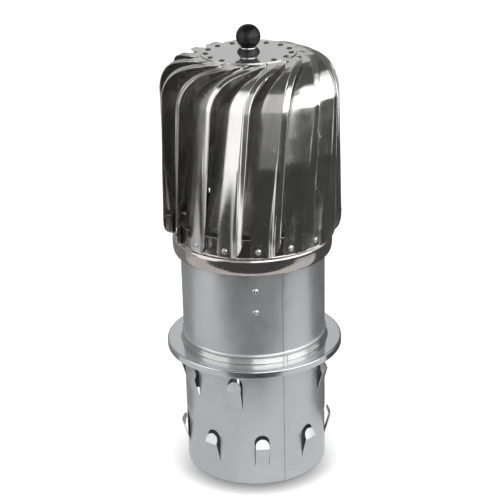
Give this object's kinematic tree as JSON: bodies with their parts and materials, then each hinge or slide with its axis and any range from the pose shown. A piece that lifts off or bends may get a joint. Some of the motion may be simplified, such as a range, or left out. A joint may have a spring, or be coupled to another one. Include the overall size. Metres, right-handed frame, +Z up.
{
  "type": "rotating chimney cowl",
  "caption": "Chimney cowl with a rolled flue tube, sprung clamp tabs, a flange ring and a head of bent sheet vanes that spins on a bearing spindle under a ball knob.",
  "frame": {"origin": "centre of the flue tube's bottom edge", "axes": "+Z up along the spindle, -Y towards the viewer of the picture"},
  "size_m": [0.1851, 0.185, 0.4732],
  "materials": {
    "galvanised_sheet": "satin galvanised",
    "polished_stainless": "polished",
    "rivet_steel": "polished",
    "plated_steel": "bright plated",
    "spring_steel": "dark",
    "turned_aluminium": "turned",
    "cage_brass": "satin",
    "bearing_steel": "ground",
    "black_resin": "semi gloss"
  },
  "bodies": {
    "base": {"flue_tube": "galvanised_sheet", "flange_ring": "galvanised_sheet", "bearing_bracket": "galvanised_sheet", "bracket_rivets": "rivet_steel", "bearing_housing": "turned_aluminium", "housing_nut": "plated_steel", "lower_bearing_outer_ring": "bearing_steel", "upper_bearing_outer_ring": "bearing_steel", "lower_bore_circlip": "spring_steel", "upper_bore_circlip": "spring_steel"},
    "rotor": {"spindle": "plated_steel", "lower_bearing_inner_ring": "bearing_steel", "upper_bearing_inner_ring": "bearing_steel", "shaft_circlip": "spring_steel", "support_washer": "plated_steel", "top_disc": "polished_stainless", "clamp_nut": "plated_steel", "knob_washer": "plated_steel", "ball_knob": "black_resin", "rotor_ring": "polished_stainless", "vane_foot_rivets": "rivet_steel", "vane_top_rivets": "rivet_steel", "vane_01": "polished_stainless", "vane_02": "polished_stainless", "vane_03": "polished_stainless", "vane_04": "polished_stainless", "vane_05": "polished_stainless", "vane_06": "polished_stainless", "vane_07": "polished_stainless", "vane_08": "polished_stainless", "vane_09": "polished_stainless", "vane_10": "polished_stainless", "vane_11": "polished_stainless", "vane_12": "polished_stainless", "vane_13": "polished_stainless", "vane_14": "polished_stainless", "vane_15": "polished_stainless"},
    "lower_cage": {"lower_bearing_balls": "bearing_steel", "lower_bearing_cage": "cage_brass"},
    "upper_cage": {"upper_bearing_balls": "bearing_steel", "upper_bearing_cage": "cage_brass"}
  },
  "joints": [
    {"name": "rotor_spin", "type": "hinge", "parent": "base", "child": "rotor", "pos_m": [0, 0, 0.25], "axis": [0, 0, 1], "continuous": true},
    {"name": "lower_cage_spin", "type": "hinge", "parent": "base", "child": "lower_cage", "pos_m": [0, 0, 0.2], "axis": [0, 0, 1], "continuous": true},
    {"name": "upper_cage_spin", "type": "hinge", "parent": "base", "child": "upper_cage", "pos_m": [0, 0, 0.254], "axis": [0, 0, 1], "continuous": true}
  ],
  "couplings": [
    {"joint": "lower_cage_spin", "follows": "rotor_spin", "ratio": 0.368},
    {"joint": "upper_cage_spin", "follows": "rotor_spin", "ratio": 0.368}
  ]
}
